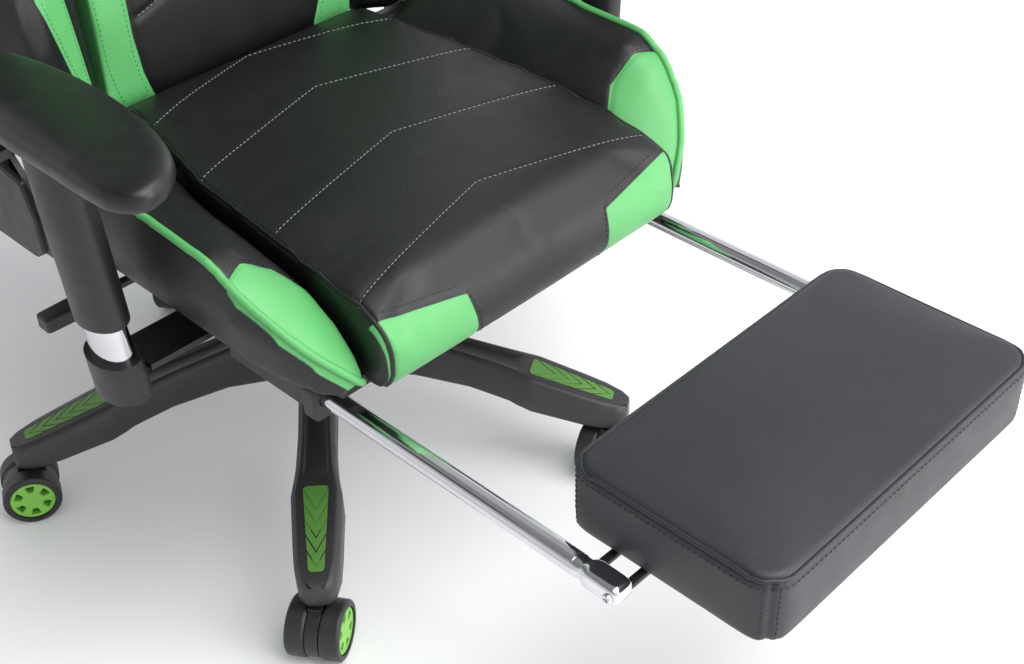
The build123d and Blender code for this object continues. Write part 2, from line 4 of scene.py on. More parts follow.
import bmesh
import bpy
import numpy as np
from mathutils import Matrix, Vector
from mathutils.bvhtree import BVHTree
from mathutils.kdtree import KDTree


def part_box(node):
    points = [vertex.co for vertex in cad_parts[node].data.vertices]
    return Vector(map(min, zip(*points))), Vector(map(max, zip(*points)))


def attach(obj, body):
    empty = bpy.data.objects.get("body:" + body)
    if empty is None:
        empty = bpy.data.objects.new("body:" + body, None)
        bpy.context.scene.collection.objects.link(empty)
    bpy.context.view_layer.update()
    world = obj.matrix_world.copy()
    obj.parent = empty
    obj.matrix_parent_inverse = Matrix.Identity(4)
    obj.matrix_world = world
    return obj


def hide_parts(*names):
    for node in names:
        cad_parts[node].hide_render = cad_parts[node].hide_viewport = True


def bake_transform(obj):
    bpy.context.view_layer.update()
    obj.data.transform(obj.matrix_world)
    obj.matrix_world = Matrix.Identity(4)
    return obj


# Looks of the gaming chair. Lengths are in metres, in the frame of the CAD model: the origin is on
# the floor on the swivel axis, the sitter faces -Y, and +X is the sitter's left.

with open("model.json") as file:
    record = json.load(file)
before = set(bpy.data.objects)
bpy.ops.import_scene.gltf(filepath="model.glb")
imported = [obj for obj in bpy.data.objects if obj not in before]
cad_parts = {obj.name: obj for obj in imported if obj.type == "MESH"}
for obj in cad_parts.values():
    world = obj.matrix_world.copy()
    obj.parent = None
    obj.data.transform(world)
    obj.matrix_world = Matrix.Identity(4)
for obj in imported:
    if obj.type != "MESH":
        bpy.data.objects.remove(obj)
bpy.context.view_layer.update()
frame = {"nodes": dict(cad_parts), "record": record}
nodes = frame["nodes"]
scene = bpy.context.scene
scene.view_settings.view_transform = "Standard"


# ---- Camera, floor and light --------------------------------------------------------------------

def place_camera():
    place = Vector((-0.764609, -1.065246, 1.117740))
    right = Vector((0.69690263, -0.71676639, -0.02393043))
    up = Vector((0.45010414, 0.4111653, 0.79268491))
    back = Vector((-0.55833054, -0.56319538, 0.6091617))
    data = bpy.data.cameras.new("camera")
    data.sensor_width = 36
    data.lens = 52.88
    data.clip_start = 0.05
    camera = bpy.data.objects.new("camera", data)
    scene.collection.objects.link(camera)
    columns = Matrix((right, up, back)).transposed().to_4x4()
    camera.matrix_world = Matrix.Translation(place) @ columns
    scene.camera = camera


def add_light(name, place, target, size, power):
    data = bpy.data.lights.new(name, "AREA")
    data.shape = "RECTANGLE"
    data.size, data.size_y = size
    data.energy = power
    light = bpy.data.objects.new(name, data)
    light.location = place
    light.rotation_mode = "QUATERNION"
    light.rotation_quaternion = (Vector(target) - Vector(place)).to_track_quat("-Z", "Y")
    scene.collection.objects.link(light)


def light_room():
    world = bpy.data.worlds.new("studio")
    world.use_nodes = True
    tree = world.node_tree
    background = tree.nodes["Background"]
    background.inputs["Color"].default_value = (0.97, 0.98, 1.0, 1)
    direction = tree.nodes.new("ShaderNodeTexCoord").outputs["Generated"]
    split = tree.nodes.new("ShaderNodeSeparateXYZ")
    tree.links.new(direction, split.inputs[0])
    product = tree.nodes.new("ShaderNodeMath")
    product.operation = "MULTIPLY"
    # a bright sweep low down and a darker ceiling, dimmer towards the chair's right
    upwards, sideways = (0.3, 0.78, 1.5, 0.35), (-0.9, 0.3, 0.6, 1.0)
    for factor, (axis, fade) in enumerate(((2, upwards), (0, sideways))):
        ramp = tree.nodes.new("ShaderNodeMapRange")
        for index, value in enumerate(fade, start=1):
            ramp.inputs[index].default_value = value
        tree.links.new(split.outputs[axis], ramp.inputs[0])
        tree.links.new(ramp.outputs[0], product.inputs[factor])
    tree.links.new(product.outputs[0], background.inputs["Strength"])
    scene.world = world
    add_light("key", (0.3, -1.4, 2.6), (0, -0.2, 0.3), (2.4, 2.0), 85)
    add_light("front", (0.9, -2.6, 0.9), (0, -0.3, 0.4), (1.6, 1.2), 34)


# ---- Materials ----------------------------------------------------------------------------------

class Recipe:
    """A node material round one Principled shader."""

    def __init__(self, name, **shader):
        self.material = bpy.data.materials.new(name)
        self.material.use_nodes = True
        self.tree = self.material.node_tree
        self.shader = self.tree.nodes["Principled BSDF"]
        for socket, value in shader.items():
            self.shader.inputs[socket.replace("_", " ")].default_value = value
        self.place = self.tree.nodes.new("ShaderNodeTexCoord").outputs["Object"]
        self.normal = None

    def add(self, kind, inputs, **settings):
        node = self.tree.nodes.new("ShaderNode" + kind)
        for key, value in settings.items():
            setattr(node, key, value)
        for key, value in inputs.items():
            if isinstance(value, bpy.types.NodeSocket):
                self.tree.links.new(value, node.inputs[key])
            else:
                node.inputs[key].default_value = value
        return node

    def noise(self, scale, detail):
        inputs = {"Vector": self.place, "Scale": scale, "Detail": detail}
        return self.add("TexNoise", inputs).outputs[0]

    def cells(self, scale):
        """Distance to the nearest cell middle, of cells put out of line by a noise."""
        inputs = {"Vector": self.place, "Scale": scale * 0.6, "Detail": 1.0}
        warp = self.add("TexNoise", inputs).outputs[1]
        shift = self.add("VectorMath", {0: warp, 1: (0.6 / scale,) * 3}, operation="MULTIPLY").outputs[0]
        moved = self.add("VectorMath", {0: self.place, 1: shift}, operation="ADD").outputs[0]
        return self.add("TexVoronoi", {"Vector": moved, "Scale": scale}, feature="F1").outputs[0]

    def ramp(self, value, low, high, out_low, out_high):
        return self.add("MapRange", {0: value, 1: low, 2: high, 3: out_low, 4: out_high}).outputs[0]

    def mix(self, factor, first, second):
        return self.add("Mix", {0: factor, 6: first, 7: second}, data_type="RGBA").outputs[2]

    def clouded(self, cloud, low, high, colour, gain):
        """The colour, drifting to gain times itself where the cloud is high."""
        other = (*[channel * gain for channel in colour[:3]], 1)
        return self.mix(self.ramp(cloud, low, high, 0, 1), colour, other)

    def bump(self, height, distance, strength):
        inputs = {"Height": height, "Distance": distance, "Strength": strength}
        if self.normal is not None:
            inputs["Normal"] = self.normal
        self.normal = self.add("Bump", inputs).outputs[0]
        self.tree.links.new(self.normal, self.shader.inputs["Normal"])

    def round_edges(self, radius):
        self.normal = self.add("Bevel", {"Radius": radius}, samples=6).outputs[0]
        self.tree.links.new(self.normal, self.shader.inputs["Normal"])

    def colour(self, socket):
        self.tree.links.new(socket, self.shader.inputs["Base Color"])

    def roughness(self, socket):
        self.tree.links.new(socket, self.shader.inputs["Roughness"])


def rgb(hexcode):
    """Linear colour of an sRGB code such as 78c850."""
    parts = [int(hexcode[i:i + 2], 16) / 255 for i in (0, 2, 4)]
    return (*[p / 12.92 if p <= 0.04045 else ((p + 0.055) / 1.055) ** 2.4 for p in parts], 1)


def leather(name, dark, light=None, rough=(0.36, 0.5), grain=1000):
    """Coated upholstery leather, in the light colour where a piece's tint attribute is above zero."""
    recipe = Recipe(name, Specular_IOR_Level=0.45)
    cloud = recipe.noise(9, 4.0)
    shade = recipe.clouded(cloud, 0.35, 0.65, dark, 1.25)
    if light:
        tint = recipe.add("Attribute", {}, attribute_name="tint").outputs["Fac"]
        share = recipe.ramp(tint, -0.0003, 0.0003, 0, 1)
        shade = recipe.mix(share, shade, recipe.clouded(cloud, 0.35, 0.65, light, 0.93))
    recipe.colour(shade)
    recipe.roughness(recipe.ramp(recipe.noise(34, 5.0), 0.25, 0.75, *rough))
    recipe.bump(recipe.noise(11, 1.5), 0.0016, 0.3)
    recipe.bump(recipe.cells(grain), 0.00035, 0.45)
    recipe.bump(recipe.noise(grain * 2.2, 2.0), 0.0001, 0.3)
    return recipe.material


def moulded(name, colour, rough, texture=900, depth=0.00008, edge=0.0012):
    """Moulded plastic with a fine spark-eroded texture and softened edges."""
    recipe = Recipe(name, Roughness=rough)
    if edge:
        recipe.round_edges(edge)
    recipe.colour(recipe.clouded(recipe.noise(18, 4.0), 0.3, 0.7, colour, 1.18))
    recipe.roughness(recipe.ramp(recipe.noise(60, 4.0), 0.3, 0.7, rough - 0.05, rough + 0.06))
    recipe.bump(recipe.noise(texture, 2.0), depth, 0.6)
    return recipe.material


def metal(name, colour, rough, metallic=1.0):
    """Plated, bare or powder-coated metal with faint handling marks."""
    recipe = Recipe(name, Metallic=metallic, Roughness=rough)
    recipe.round_edges(0.0006)
    recipe.colour(recipe.clouded(recipe.noise(25, 3.0), 0.3, 0.7, colour, 0.93))
    recipe.roughness(recipe.ramp(recipe.noise(45, 6.0), 0.35, 0.75, rough, rough * 1.5 + 0.02))
    recipe.bump(recipe.noise(30, 2.0), 0.0002, 0.2)
    return recipe.material


def floor_paint(name):
    """Matt off-white paint."""
    recipe = Recipe(name, Roughness=0.8)
    recipe.colour(recipe.mix(recipe.noise(0.8, 2.0), rgb("f6f6f7"), rgb("f2f2f3")))
    return recipe.material


def plywood(name):
    """Bare plywood with its grain along X."""
    recipe = Recipe(name, Roughness=0.6)
    stretched = recipe.add("Mapping", {"Vector": recipe.place, "Scale": (6, 90, 90)}).outputs[0]
    rings = recipe.add("TexNoise", {"Vector": stretched, "Scale": 1.0, "Detail": 6.0}).outputs[0]
    recipe.colour(recipe.mix(recipe.ramp(rings, 0.3, 0.7, 0, 1), rgb("c9a676"), rgb("8f6a3f")))
    recipe.bump(rings, 0.0003, 0.3)
    return recipe.material


GREEN = rgb("58a761")
MATERIALS = {
    "seat_leather": leather("seat_leather", rgb("0c0c0d"), GREEN),
    "pad_leather": leather("pad_leather", rgb("202025"), None, (0.4, 0.5), 850),
    "armpad_black": moulded("armpad_black", rgb("080808"), 0.38, 1400, 0.00006, 0),
    "black_plastic": moulded("black_plastic", rgb("171718"), 0.42),
    "base_nylon": moulded("base_nylon", rgb("29282a"), 0.45, 700, 0.0001, 0.0015),
    "green_plastic": moulded("green_plastic", rgb("4f8034"), 0.5, 900, 0.0001, 0.0005),
    "castor_green": moulded("castor_green", rgb("74b146"), 0.4, 900, 0.00006, 0.0006),
    "tyre_black": moulded("tyre_black", rgb("1e1d1d"), 0.48, 1200, 0.0001, 0.0006),
    "chrome": metal("chrome", rgb("d6d6da"), 0.07),
    "black_metal": metal("black_metal", rgb("1b1b1d"), 0.36, 0.0),
    "bare_steel": metal("bare_steel", rgb("a9abae"), 0.3),
    "plywood": plywood("plywood"),
    "underside": leather("underside", rgb("161617"), None, (0.6, 0.75), 1600),
    "piping_green": leather("piping_green", rgb("509c58"), None, (0.4, 0.5), 1400),
    "welt_black": leather("welt_black", rgb("0f0f10"), None, (0.34, 0.44), 1400),
    "thread_grey": moulded("thread_grey", rgb("77797c"), 0.7, 3000, 0.0001, 0),
    "thread_black": moulded("thread_black", rgb("161617"), 0.6, 3000, 0.0001, 0),
    "floor": floor_paint("floor"),
    "thread_green": moulded("thread_green", rgb("3f9a4a"), 0.6, 3000, 0.0001, 0),
}


# ---- Mesh tools ---------------------------------------------------------------------------------

def new_piece(name, vertices, faces, material):
    mesh = bpy.data.meshes.new(name)
    mesh.from_pydata([tuple(v) for v in vertices], [], faces)
    mesh.update()
    piece = bpy.data.objects.new(name, mesh)
    scene.collection.objects.link(piece)
    mesh.materials.append(MATERIALS[material])
    shade_smooth(mesh)
    return piece


def shade_smooth(mesh):
    mesh.polygons.foreach_set("use_smooth", [True] * len(mesh.polygons))


def coordinates(mesh):
    flat = np.empty(len(mesh.vertices) * 3, np.float32)
    mesh.vertices.foreach_get("co", flat)
    return flat.reshape(-1, 3).astype(float)


def normals(mesh):
    flat = np.empty(len(mesh.vertices) * 3, np.float32)
    mesh.vertices.foreach_get("normal", flat)
    return flat.reshape(-1, 3).astype(float)


def move_vertices(mesh, places):
    mesh.vertices.foreach_set("co", places.astype(np.float32).ravel())
    mesh.update()


def apply_modifiers(piece):
    graph = bpy.context.evaluated_depsgraph_get()
    mesh = bpy.data.meshes.new_from_object(piece.evaluated_get(graph))
    old = piece.data
    piece.modifiers.clear()
    piece.data = mesh
    bpy.data.meshes.remove(old)


def relax(piece, factor, iterations, group=""):
    """Adds a smoothing modifier, for one vertex group if it is named."""
    smooth = piece.modifiers.new("Smooth", "SMOOTH")
    smooth.factor, smooth.iterations, smooth.vertex_group = factor, iterations, group


def refine(piece):
    """Subdivides the piece once, applies its modifiers and shades it smooth."""
    piece.modifiers.new("Finer", "SUBSURF").levels = 1
    apply_modifiers(piece)
    shade_smooth(piece.data)


def split_edges(piece, degrees):
    """Keeps edges sharper than the angle crisp."""
    piece.modifiers.new("Split", "EDGE_SPLIT").split_angle = math.radians(degrees)
    apply_modifiers(piece)


def stand_in(piece, body, node):
    """Puts the piece on its body in the place of a CAD node, which it hides."""
    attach(piece, body)
    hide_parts(node)


def trim(piece, body):
    """Puts an added detail on its body."""
    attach(piece, body)


def sew(name, stitches, thread, body):
    """One piece from many stitches."""
    trim(new_piece(name, *joined(stitches), thread), body)


LINE_SPACING = 0.0015
PROBE = 0.06


def resample(points, spacing):
    """Points at even spacing along a polyline."""
    points = np.asarray(points, float)
    steps = np.linalg.norm(np.diff(points, axis=0), axis=1)
    along = np.concatenate(([0], np.cumsum(steps)))
    count = max(2, int(round(along[-1] / spacing)) + 1)
    marks = np.linspace(0, along[-1], count)
    return np.stack([np.interp(marks, along, points[:, k]) for k in range(3)], axis=1)


def rounded(points, rounds):
    """A polyline with its corners cut repeatedly, ends kept."""
    points = np.asarray(points, float)
    for _ in range(rounds):
        a, b = points[:-1], points[1:]
        cut = np.stack([0.75 * a + 0.25 * b, 0.25 * a + 0.75 * b], axis=1).reshape(-1, points.shape[1])
        points = np.vstack([points[:1], cut[1:-1], points[-1:]])
    return points


def distances(points, lines):
    """How far each point is from the nearest of the lines."""
    dense = np.vstack([resample(line, LINE_SPACING) for line in lines])
    tree = KDTree(len(dense))
    for index, point in enumerate(dense):
        tree.insert(point, index)
    tree.balance()
    return np.array([tree.find(point)[2] for point in points])


def mirrored(line):
    return np.asarray(line, float) * (-1, 1, 1)


def both(line):
    return [np.asarray(line, float), mirrored(line)]


class Skin:
    """A piece's surface, for laying lines on it."""

    def __init__(self, piece):
        copy = bmesh.new()
        copy.from_mesh(piece.data)
        self.tree = BVHTree.FromBMesh(copy)
        copy.free()

    def lay(self, line, direction=None):
        """(places, normals) of a line on the surface, met along a direction or at the nearest point."""
        places, ups = [], []
        for point in resample(line, LINE_SPACING):
            point = Vector(point)
            hit = (None,)
            if direction is not None:
                aim = Vector(direction).normalized()
                hit = self.tree.ray_cast(point - aim * PROBE, aim, 2 * PROBE)
            if hit[0] is None:
                hit = self.tree.find_nearest(point)
            places.append(hit[0])
            ups.append(hit[1])
        places, ups = np.array(places, float), np.array(ups, float)
        for _ in range(3):
            places[1:-1] = (places[:-2] + 2 * places[1:-1] + places[2:]) / 4
            ups[1:-1] = (ups[:-2] + 2 * ups[1:-1] + ups[2:]) / 4
        ups /= np.linalg.norm(ups, axis=1)[:, None]
        return places, ups


def tube_mesh(path, radius, sides=8, closed=False):
    """(vertices, faces) of a round tube along a path."""
    path = np.asarray(path, float)
    ahead = np.roll(path, -1, 0) - np.roll(path, 1, 0)
    if not closed:
        ahead[0], ahead[-1] = path[1] - path[0], path[-1] - path[-2]
    ahead /= np.linalg.norm(ahead, axis=1)[:, None]
    side = np.cross(ahead[0], (0.31, 0.2, 0.93))
    rings = []
    for direction, point in zip(ahead, path):
        side = side - direction * (side @ direction)
        side /= np.linalg.norm(side)
        lift = np.cross(direction, side)
        turns = np.linspace(0, 2 * math.pi, sides, endpoint=False)
        rings.append(point + radius * (np.outer(np.cos(turns), side) + np.outer(np.sin(turns), lift)))
    return loft_mesh(rings, closed)


def loft_mesh(rings, closed=False):
    """(vertices, faces) of a skin through rings of equal size, with its ends closed unless it is a loop."""
    count, sides = len(rings), len(rings[0])
    faces = []
    for i in range(count if closed else count - 1):
        following = (i + 1) % count
        for j in range(sides):
            across = (j + 1) % sides
            near, far = i * sides, following * sides
            faces.append((near + j, near + across, far + across, far + j))
    if not closed:
        faces.append(tuple(range(sides))[::-1])
        faces.append(tuple((count - 1) * sides + j for j in range(sides)))
    return np.vstack(rings), faces


def joined(parts):
    """One (vertices, faces) from several."""
    vertices, faces, start = [], [], 0
    for part_vertices, part_faces in parts:
        vertices.append(part_vertices)
        faces += [tuple(start + index for index in face) for face in part_faces]
        start += len(part_vertices)
    return np.vstack(vertices), faces


STITCH_PITCH = 0.0052
STITCH_LENGTH = 0.0037
THREAD_RADIUS = 0.00042
THREAD_LIFT = 0.0001
# Rings of one stitch: share of its length, share of its radius, height in radii
STITCH_RINGS = ((0, 0.3, -0.7), (0.15, 0.85, 0.2), (0.5, 1, 0.6), (0.85, 0.85, 0.2), (1, 0.3, -0.7))


def stitch_parts(path, ups):
    """Small thread capsules along a path that lies on a surface."""
    steps = np.linalg.norm(np.diff(path, axis=0), axis=1)
    along = np.concatenate(([0], np.cumsum(steps)))

    def at(mark, values):
        return np.array([np.interp(mark, along, values[:, k]) for k in range(3)])

    parts = []
    turns = np.linspace(0, 2 * math.pi, 6, endpoint=False)
    for mark in np.arange(STITCH_PITCH / 2, along[-1] - STITCH_PITCH / 2, STITCH_PITCH):
        ends = [at(mark - STITCH_LENGTH / 2, path), at(mark + STITCH_LENGTH / 2, path)]
        up = at(mark, ups)
        ahead = ends[1] - ends[0]
        span = np.linalg.norm(ahead)
        if span < 1e-6:
            continue
        ahead /= span
        side = np.cross(ahead, up)
        side /= np.linalg.norm(side)
        up = np.cross(side, ahead)
        circle = np.outer(np.cos(turns), side) + np.outer(np.sin(turns), up)
        rings = []
        for share, width, rise in STITCH_RINGS:
            middle = ends[0] + ahead * span * share + up * (THREAD_LIFT + rise * THREAD_RADIUS)
            rings.append(middle + THREAD_RADIUS * width * circle)
        parts.append(loft_mesh(rings))
    return parts


def soft_copy(node, name, material, voxel, inset, smoothing):
    """A closed, evenly meshed copy of a CAD cushion, a little smaller than it."""
    mesh = nodes[node].data.copy()
    mesh.name = name
    clean = bmesh.new()
    clean.from_mesh(mesh)
    bmesh.ops.remove_doubles(clean, verts=clean.verts, dist=1e-5)
    bmesh.ops.recalc_face_normals(clean, faces=clean.faces)
    clean.to_mesh(mesh)
    clean.free()
    mesh.materials.clear()
    piece = bpy.data.objects.new(name, mesh)
    scene.collection.objects.link(piece)
    remesh = piece.modifiers.new("Remesh", "REMESH")
    remesh.mode = "VOXEL"
    remesh.voxel_size = voxel
    relax(piece, 0.5, smoothing)
    apply_modifiers(piece)
    move_vertices(piece.data, coordinates(piece.data) - inset * normals(piece.data))
    piece.data.materials.clear()
    piece.data.materials.append(MATERIALS[material])
    return piece


SWELL_FRAMES = 20
SWELL_PRESSURE = 4.0


def swell(piece, seams, cap, held, hold=0.005):
    """Blows the piece up with its seams and the held points fixed, and no point moved further than cap."""
    rest = coordinates(piece.data)
    pinned = (distances(rest, seams) < hold) | held(rest)
    group = piece.vertex_groups.new(name="seams")
    group.add([int(i) for i in np.flatnonzero(pinned)], 1.0, "REPLACE")
    cloth = piece.modifiers.new("Cloth", "CLOTH")
    cloth.settings.use_pressure = True
    cloth.settings.uniform_pressure_force = SWELL_PRESSURE
    cloth.settings.effector_weights.gravity = 0
    cloth.settings.vertex_group_mass = "seams"
    cloth.collision_settings.use_collision = False
    cloth.point_cache.frame_start, cloth.point_cache.frame_end = 1, SWELL_FRAMES
    for number in range(1, SWELL_FRAMES + 1):
        scene.frame_set(number)
    apply_modifiers(piece)
    scene.frame_set(1)
    piece.vertex_groups.clear()
    shift = coordinates(piece.data) - rest
    reach = np.linalg.norm(shift, axis=1)
    limit = cap(rest) if callable(cap) else np.full(len(rest), cap)
    scale = limit * np.tanh(reach / np.maximum(limit, 1e-6)) / np.maximum(reach, 1e-9)
    move_vertices(piece.data, rest + shift * scale[:, None])
    relax(piece, 0.5, 3)
    refine(piece)


def groove(piece, lines, depth, width):
    """Draws the skin in along the lines."""
    mesh = piece.data
    places = coordinates(mesh)
    reach = distances(places, lines)
    move_vertices(mesh, places - normals(mesh) * (depth * np.exp(-((reach / width) ** 2)))[:, None])


def set_tint(piece, values):
    """Says how far each point is inside the light-coloured leather."""
    attribute = piece.data.attributes.new("tint", "FLOAT", "POINT")
    attribute.data.foreach_set("value", values.astype(np.float32))


# ---- Seat ---------------------------------------------------------------------------------------

# Side seam of the seat cushion: half width, y, height, from the back to the foot of the front corner
SEAT_SEAM = (
    (0.142, 0.072, 0.440), (0.147, 0.050, 0.446), (0.152, 0.011, 0.446), (0.171, -0.084, 0.438),
    (0.179, -0.193, 0.433), (0.182, -0.301, 0.420), (0.183, -0.326, 0.411), (0.1815, -0.338, 0.398),
    (0.179, -0.3415, 0.380), (0.178, -0.340, 0.352), (0.176, -0.328, 0.338),
)
# Quilting lines across the seat: half width, y at the ends, y at the middle
SEAT_CHEVRONS = (
    (0.182, -0.301, -0.256), (0.179, -0.193, -0.148), (0.171, -0.084, -0.041), (0.154, 0.011, 0.063),
)
# Borders of the green patch on the seat's left front corner
PATCH_TOP = ((0.183, -0.3235, 0.4125), (0.150, -0.3300, 0.4100), (0.090, -0.338, 0.403))
PATCH_INNER = (
    (0.090, -0.338, 0.403), (0.0865, -0.342, 0.392), (0.083, -0.343, 0.370),
    (0.080, -0.340, 0.346), (0.079, -0.330, 0.337),
)
# Direction in which lines are put down on the rolled front edge of the seat
ONTO_FRONT = (0, 0.75, -0.66)
# Ridge of the left bolster, front to back
BOLSTER_RIDGE = (
    (0.204, -0.317, 0.366), (0.226, -0.305, 0.391), (0.246, -0.285, 0.421), (0.259, -0.255, 0.449),
    (0.261, -0.222, 0.467), (0.261, -0.096, 0.472), (0.262, 0.034, 0.480),
)
# Where the green front of the left bolster meets the black, from the seat outwards
BOLSTER_BORDER = (
    (0.1805, -0.243, 0.405), (0.190, -0.240, 0.43), (0.205, -0.230, 0.44),
    (0.235, -0.233, 0.455), (0.261, -0.246, 0.463),
)


def seam_at(values, points, axis, other):
    """Interpolates one coordinate of a seam from another."""
    order = sorted(points, key=lambda p: p[axis])
    return np.interp(values, [p[axis] for p in order], [p[other] for p in order])


def roll_front(piece):
    """Rounds the front of the seat between its side seams."""
    places = coordinates(piece.data)
    forward = np.clip((-0.268 - places[:, 1]) / 0.03, 0, 1)
    inward = np.clip((0.181 - np.abs(places[:, 0])) / 0.012, 0, 1)
    reach = forward * inward
    group = piece.vertex_groups.new(name="front")
    for index in np.flatnonzero(reach > 0):
        group.add([int(index)], float(reach[index]), "REPLACE")
    relax(piece, 0.6, 70, "front")
    apply_modifiers(piece)
    piece.vertex_groups.clear()


def make_seat():
    piece = soft_copy("seat_cushion", "seat_cushion_cover", "seat_leather", 0.005, 0.0022, 4)
    roll_front(piece)
    seams = both(SEAT_SEAM) + [np.array([(-0.14, 0.073, 0.44), (0.14, 0.073, 0.44)])]

    def cap(places):
        side = seam_at(places[:, 1], SEAT_SEAM, 1, 0)
        return np.where(np.abs(places[:, 0]) > side - 0.004, 0.0012, 0.007)

    swell(piece, seams, cap, held=lambda places: places[:, 2] < 0.344)
    skin = Skin(piece)
    quilting = []
    for half, end, apex in SEAT_CHEVRONS:
        line = [(-half, end, 0.45), (0, apex, 0.45), (half, end, 0.45)]
        quilting.append(skin.lay(line, (0, 0, -1)))
    top, inner = rounded(PATCH_TOP, 1), rounded(PATCH_INNER, 2)
    borders = [skin.lay(line, ONTO_FRONT) for line in both(top) + both(inner)]
    groove(piece, [line for line, _ in quilting], 0.0005, 0.0024)
    groove(piece, [line for line, _ in borders], 0.0009, 0.0024)
    seam_lines = [skin.lay(rounded(line, 1)) for line in both(SEAT_SEAM)]
    groove(piece, [line for line, _ in seam_lines], 0.0016, 0.0028)

    # green is in front of the plane through the patch's top edge, and between its two sides
    places = coordinates(piece.data)
    x, y, z = np.abs(places[:, 0]), places[:, 1], places[:, 2]
    along = np.subtract(PATCH_TOP[0], PATCH_TOP[-1])
    across = np.cross(along, (0, -0.6, 0.8))
    across /= np.linalg.norm(across)
    ahead = (np.stack([x, y, z], 1) - PATCH_TOP[-1]) @ across
    ahead = np.where(y < -0.30, ahead, -1.0)
    inner_x = seam_at(z, PATCH_INNER, 2, 0)
    outer_x = seam_at(z, [p for p in SEAT_SEAM if p[1] < -0.3], 2, 0) - 0.0012
    set_tint(piece, np.minimum(np.minimum(ahead, x - inner_x), outer_x - x))
    stand_in(piece, "seat", "seat_cushion")

    skin = Skin(piece)
    stitches = []
    for half, end, apex in SEAT_CHEVRONS:
        line = [(-half + 0.004, end, 0.45), (0, apex, 0.45), (half - 0.004, end, 0.45)]
        stitches += stitch_parts(*skin.lay(line, (0, 0, -1)))
    sew("seat_quilting_thread", stitches, "thread_grey", "seat")

    edges = [tube_mesh(skin.lay(line)[0], 0.0021) for line, _ in seam_lines]
    trim(new_piece("seat_welts", *joined(edges), "welt_black"), "seat")

    stitches = []
    inboard = rounded(np.array(SEAT_SEAM[:8]) - (0.0075, 0, 0), 1)
    for line in both(inboard):
        stitches += stitch_parts(*skin.lay(line, (0, 0.3, -0.95)))
    for line in both(top + (0, 0.0045, 0.003)) + both(inner + (-0.0045, 0, 0)):
        stitches += stitch_parts(*skin.lay(line, ONTO_FRONT))
    sew("seat_seam_thread", stitches, "thread_black", "seat")


def make_seat_bolsters():
    piece = soft_copy("seat_bolsters", "seat_bolster_covers", "seat_leather", 0.005, 0.0025, 5)
    ridge = rounded(BOLSTER_RIDGE, 2)

    def cap(places):
        inner = np.interp(places[:, 1], [-0.34, -0.2, 0.07], [0.186, 0.183, 0.150])
        return np.where(np.abs(places[:, 0]) < inner + 0.008, 0.001, 0.007)

    swell(piece, both(ridge), cap, held=lambda places: places[:, 2] < 0.352)
    skin = Skin(piece)
    border = rounded(BOLSTER_BORDER, 2)
    borders = [skin.lay(border * (side, 1, 1), (0.3 * side, 0, -1))[0] for side in (1, -1)]
    groove(piece, borders, 0.0012, 0.0028)
    groove(piece, both(ridge), 0.0015, 0.004)

    places = coordinates(piece.data)
    x, y, z = np.abs(places[:, 0]), places[:, 1], places[:, 2]
    limit = seam_at(x, BOLSTER_BORDER, 0, 1)
    ridge_x = seam_at(y, BOLSTER_RIDGE, 1, 0)
    ridge_z = seam_at(y, BOLSTER_RIDGE, 1, 2)
    lower = ridge_z - (ridge_x - x) * 1.15 - 0.016
    set_tint(piece, np.minimum(np.minimum(limit - y, ridge_x - 0.0005 - x), z - lower))
    stand_in(piece, "seat", "seat_bolsters")

    skin = Skin(piece)
    piping, stitches = [], []
    tip = ((0.190, -0.3165, 0.350), (0.196, -0.3195, 0.356))
    for side in (1, -1):
        path, ups = skin.lay(rounded(tip + BOLSTER_RIDGE, 2) * (side, 1, 1))
        piping.append(tube_mesh(path + ups * 0.0018, 0.0034, 10))
        line = (border + (0, 0.004, 0)) * (side, 1, 1)
        stitches += stitch_parts(*skin.lay(line, (0.3 * side, 0, -1)))
    trim(new_piece("seat_bolster_piping", *joined(piping), "piping_green"), "seat")
    sew("seat_bolster_thread", stitches, "thread_black", "seat")


# ---- Footrest -----------------------------------------------------------------------------------

def rounded_loop(low, high, inset, radius, height, segments=10):
    """A level rectangle with round corners, inside the box by the inset, that ends where it starts."""
    low, high = (low.x + inset, low.y + inset), (high.x - inset, high.y - inset)
    points = []
    for corner, (sx, sy) in enumerate(((1, 1), (-1, 1), (-1, -1), (1, -1))):
        cx = (high[0] - radius) if sx > 0 else (low[0] + radius)
        cy = (high[1] - radius) if sy > 0 else (low[1] + radius)
        for step in range(segments + 1):
            turn = math.radians(90 * corner + 90 * step / segments)
            points.append((cx + radius * math.cos(turn), cy + radius * math.sin(turn), height))
    return np.array(points + points[:1])


